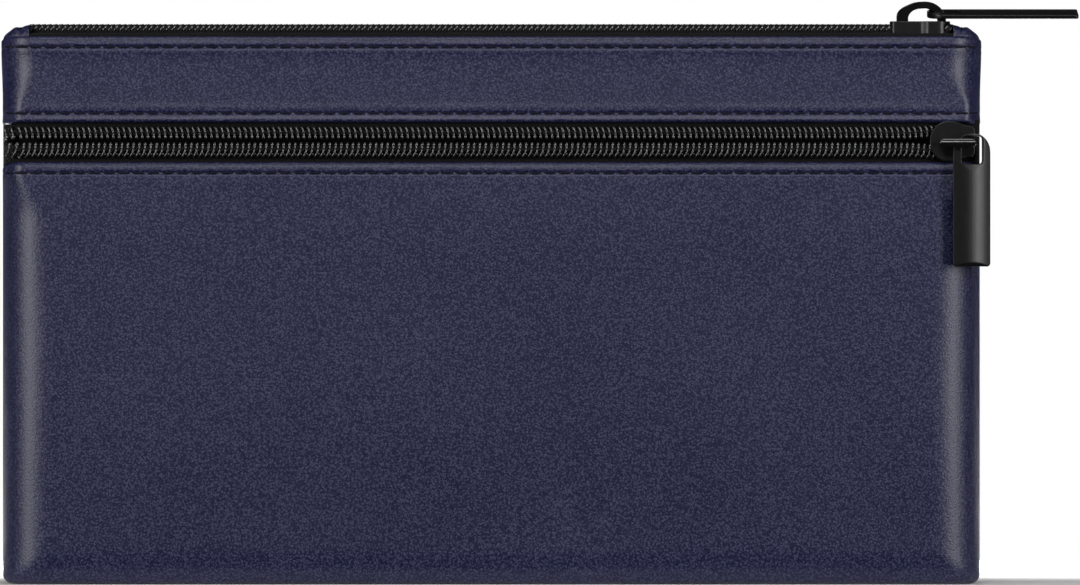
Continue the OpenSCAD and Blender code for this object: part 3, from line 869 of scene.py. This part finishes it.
def front_bar(p):
    """The bar sits low on the slider and is rounded across its width."""
    middle = (p[:, 2].min() + p[:, 2].max()) / 2
    across = np.clip((p[:, 2] - middle) / 1.1, -1, 1)
    proud = ease((p[:, 1].min() + 1.2 - p[:, 1]) / 1.2)
    p[:, 1] += BAR_CROWN * across ** 2 * proud
    p[:, 2] -= BAR_LOWER
    return p


def rolled_puller(p):
    """A little thicker, and rolled about its length so that both arms of the eye show."""
    middle = (p.min(axis=0) + p.max(axis=0)) / 2
    q = p - middle
    roll = math.radians(PULLER_ROLL)
    y = q[:, 1] * math.cos(roll) - q[:, 2] * math.sin(roll)
    z = q[:, 1] * math.sin(roll) + q[:, 2] * math.cos(roll)
    return np.stack([q[:, 0], y, PULLER_THICKER * z], -1) + middle - (0, 0, PULLER_LOWER)


def crowned_puller(p):
    """The outer face is rounded across its width."""
    middle = (p.min(axis=0) + p.max(axis=0)) / 2
    turn = math.radians(12)
    across = (p[:, 0] - middle[0]) * math.cos(turn) + (p[:, 1] - middle[1]) * math.sin(turn)
    out = (p[:, 0] - middle[0]) * math.sin(turn) - (p[:, 1] - middle[1]) * math.cos(turn)
    p[:, 1] += PULLER_CROWN * (across / across.max()) ** 2 * ease((out + 0.2) / 0.9)
    return p


cast_piece("slider_top_body", "top_slider_body", "top_slider", 0.12, 6, top_body)
cast_piece("slider_top_bail", "top_slider_bail", "top_slider", 0.10, 10, top_arch, worn_metal)
cast_piece("slider_front_body", "front_slider_body", "front_slider", 0.12, 6)
cast_piece("slider_front_bail", "front_slider_bail", "front_slider", 0.10, 10, front_bar, worn_metal)
cast_piece("puller_top", "top_puller", "top_puller", 0.16, 8, rolled_puller)
cast_piece("puller_front", "front_puller", "front_puller", 0.16, 8, crowned_puller)


# ---------------------------------------------------------------- linings

def lining(name, node, line, thickness):
    """A hanging sheet of lining cloth along a line of (distance from the middle plane, height), drawn in
    to the side seams at both ends."""
    line = through([(0, y, z) for y, z in line], 6)[:, 1:]
    step = np.gradient(line, axis=0)
    step /= np.linalg.norm(step, axis=1)[:, None]
    normal = np.stack([-step[:, 1], step[:, 0]], -1)
    loop = np.vstack([line, (line + normal * thickness)[::-1]])
    turn = np.linspace(0, 1.25, 12)
    xs = HALF_W - 15.5 + 14 * np.sin(turn)
    xs = np.concatenate([-xs[::-1], np.linspace(-xs[0], xs[0], 110)[1:-1], xs])
    draw = np.concatenate([np.cos(turn)[::-1], np.ones(108), np.cos(turn)])
    points = np.zeros((len(xs), len(loop), 3))
    points[..., 0] = xs[:, None]
    drift = 0.12 * np.sin(0.09 * xs[:, None] + 0.05 * loop[None, :, 1]) * ease((loop[None, :, 1] - 8) / 40)
    points[..., 1] = loop[None, :, 0] * draw[:, None] + drift * draw[:, None]
    points[..., 2] = loop[None, :, 1]
    parts = Parts()
    parts.lattice(points, loop_cols=True, cap_rows=True)
    obj = piece(name, parts, lining_cloth, "bag", [node])
    return obj


inside = span("main_lining")
lining("lining_main", "main_lining",
       [(0.3, inside[0][2] + 0.2), (4.5, inside[0][2] + 0.2), (7.3, 4.6), (8.2, 9), (8.2, 50), (8.1, 100),
        (7.2, 138), (6.0, 147), (5.9, inside[1][2])], 0.3)
middle = span("pocket_divider")
lining("lining_divider", "pocket_divider",
       [(-1.0, middle[0][2]), (-1.1, 40), (-1.1, 90), (-1.4, 132), (-3.4, 141), (-5.7, 147),
        (-5.9, middle[1][2])],
       0.5)
pocket = span("pocket_lining")
lining("lining_pocket", "pocket_lining",
       [(-2.2, pocket[0][2] + 0.2), (-4.6, pocket[0][2] + 0.2), (-7.2, 4.6), (-7.9, 9), (-8.0, 50),
        (-7.9, 100), (-6.8, 109), (-6.4, pocket[1][2])], -0.3)


# ---------------------------------------------------------------- floor, light and camera

def floor_material():
    s = Shader("pale_floor", Base_Color=(0.92, 0.92, 0.92, 1), Emission_Color=(1, 1, 1, 1),
               Emission_Strength=0.02)
    s.link(s.between(s.noise(8, 2), 0, 1, 0.65, 0.75), "Roughness")
    return s.material


# The floor ends just in front of the bag, so that it throws little light back on to the foot
FLOOR_X, FLOOR_FRONT, FLOOR_BACK, FLOOR_Z = 0.5, -0.016, 0.3, -0.0002
corners = [(-FLOOR_X, FLOOR_FRONT), (FLOOR_X, FLOOR_FRONT), (FLOOR_X, FLOOR_BACK), (-FLOOR_X, FLOOR_BACK)]
floor_mesh = bpy.data.meshes.new("floor")
floor_mesh.from_pydata([(x, y, FLOOR_Z) for x, y in corners], [], [(0, 1, 2, 3)])
floor_mesh.materials.append(floor_material())
floor = bpy.data.objects.new("floor", floor_mesh)
bpy.context.scene.collection.objects.link(floor)


def area_light(name, place, target, size, power, spread):
    """A rectangular soft light at place, turned to target, with its power in watts and spread in degrees."""
    data = bpy.data.lights.new(name, "AREA")
    data.shape = "RECTANGLE"
    data.size, data.size_y = size
    data.energy = power
    data.spread = math.radians(spread)
    obj = bpy.data.objects.new(name, data)
    obj.location = place
    direction = np.array(target) - np.array(place)
    yaw = math.atan2(direction[0], direction[1])
    fall = math.atan2(-direction[2], math.hypot(direction[0], direction[1]))
    obj.rotation_euler = (math.pi / 2 - fall, 0, -yaw)
    bpy.context.scene.collection.objects.link(obj)


AIM, SIDE_POWER = (0.0, 0.0, 0.09), 9.5
for light in [("left_box", (-0.91, -0.91, 0.26), AIM, (0.34, 0.7), SIDE_POWER, 180),
              ("right_box", (0.91, -0.91, 0.26), AIM, (0.34, 0.7), SIDE_POWER, 180),
              ("front_box", (0.0, -1.25, 0.75), AIM, (0.4, 0.2), 5.2, 180),
              ("overhead", (0.0, -0.45, 1.2), AIM, (0.9, 0.3), 2.4, 180),
              ("behind", (0.0, 0.30, 0.9), (0.0, 0.31, 0.0), (1.4, 0.3), 12, 20)]:
    area_light(*light)

# The camera sees a white surround, but little light comes from it
world = bpy.data.worlds.new("studio")
world.use_nodes = True
bpy.context.scene.world = world
tree = world.node_tree
tree.nodes.clear()
path = tree.nodes.new("ShaderNodeLightPath")
seen, fill = tree.nodes.new("ShaderNodeBackground"), tree.nodes.new("ShaderNodeBackground")
for background, strength in ((seen, 1.0), (fill, 0.035)):
    background.inputs["Color"].default_value = (1, 1, 1, 1)
    background.inputs["Strength"].default_value = strength
choose = tree.nodes.new("ShaderNodeMixShader")
out = tree.nodes.new("ShaderNodeOutputWorld")
tree.links.new(path.outputs["Is Camera Ray"], choose.inputs[0])
tree.links.new(fill.outputs[0], choose.inputs[1])
tree.links.new(seen.outputs[0], choose.inputs[2])
tree.links.new(choose.outputs[0], out.inputs[0])

# Width of the picture where it is measured, how far in front of the middle plane that is, and its centre
VIEW_W, FRONT_PLANE = 309.04, 5.0
VIEW_X, VIEW_Z = 13.94, 83.3
LENS, SENSOR = 400.0, 36.0
camera_data = bpy.data.cameras.new("camera")
camera_data.lens = LENS
camera_data.sensor_width = SENSOR
camera_data.clip_start = 0.01
camera = bpy.data.objects.new("camera", camera_data)
distance = VIEW_W * LENS / SENSOR + FRONT_PLANE
camera.location = (VIEW_X * MM, -distance * MM, VIEW_Z * MM)
camera.rotation_euler = (math.pi / 2, 0, 0)
bpy.context.scene.collection.objects.link(camera)
bpy.context.scene.camera = camera
bpy.context.scene.view_settings.view_transform = "Standard"
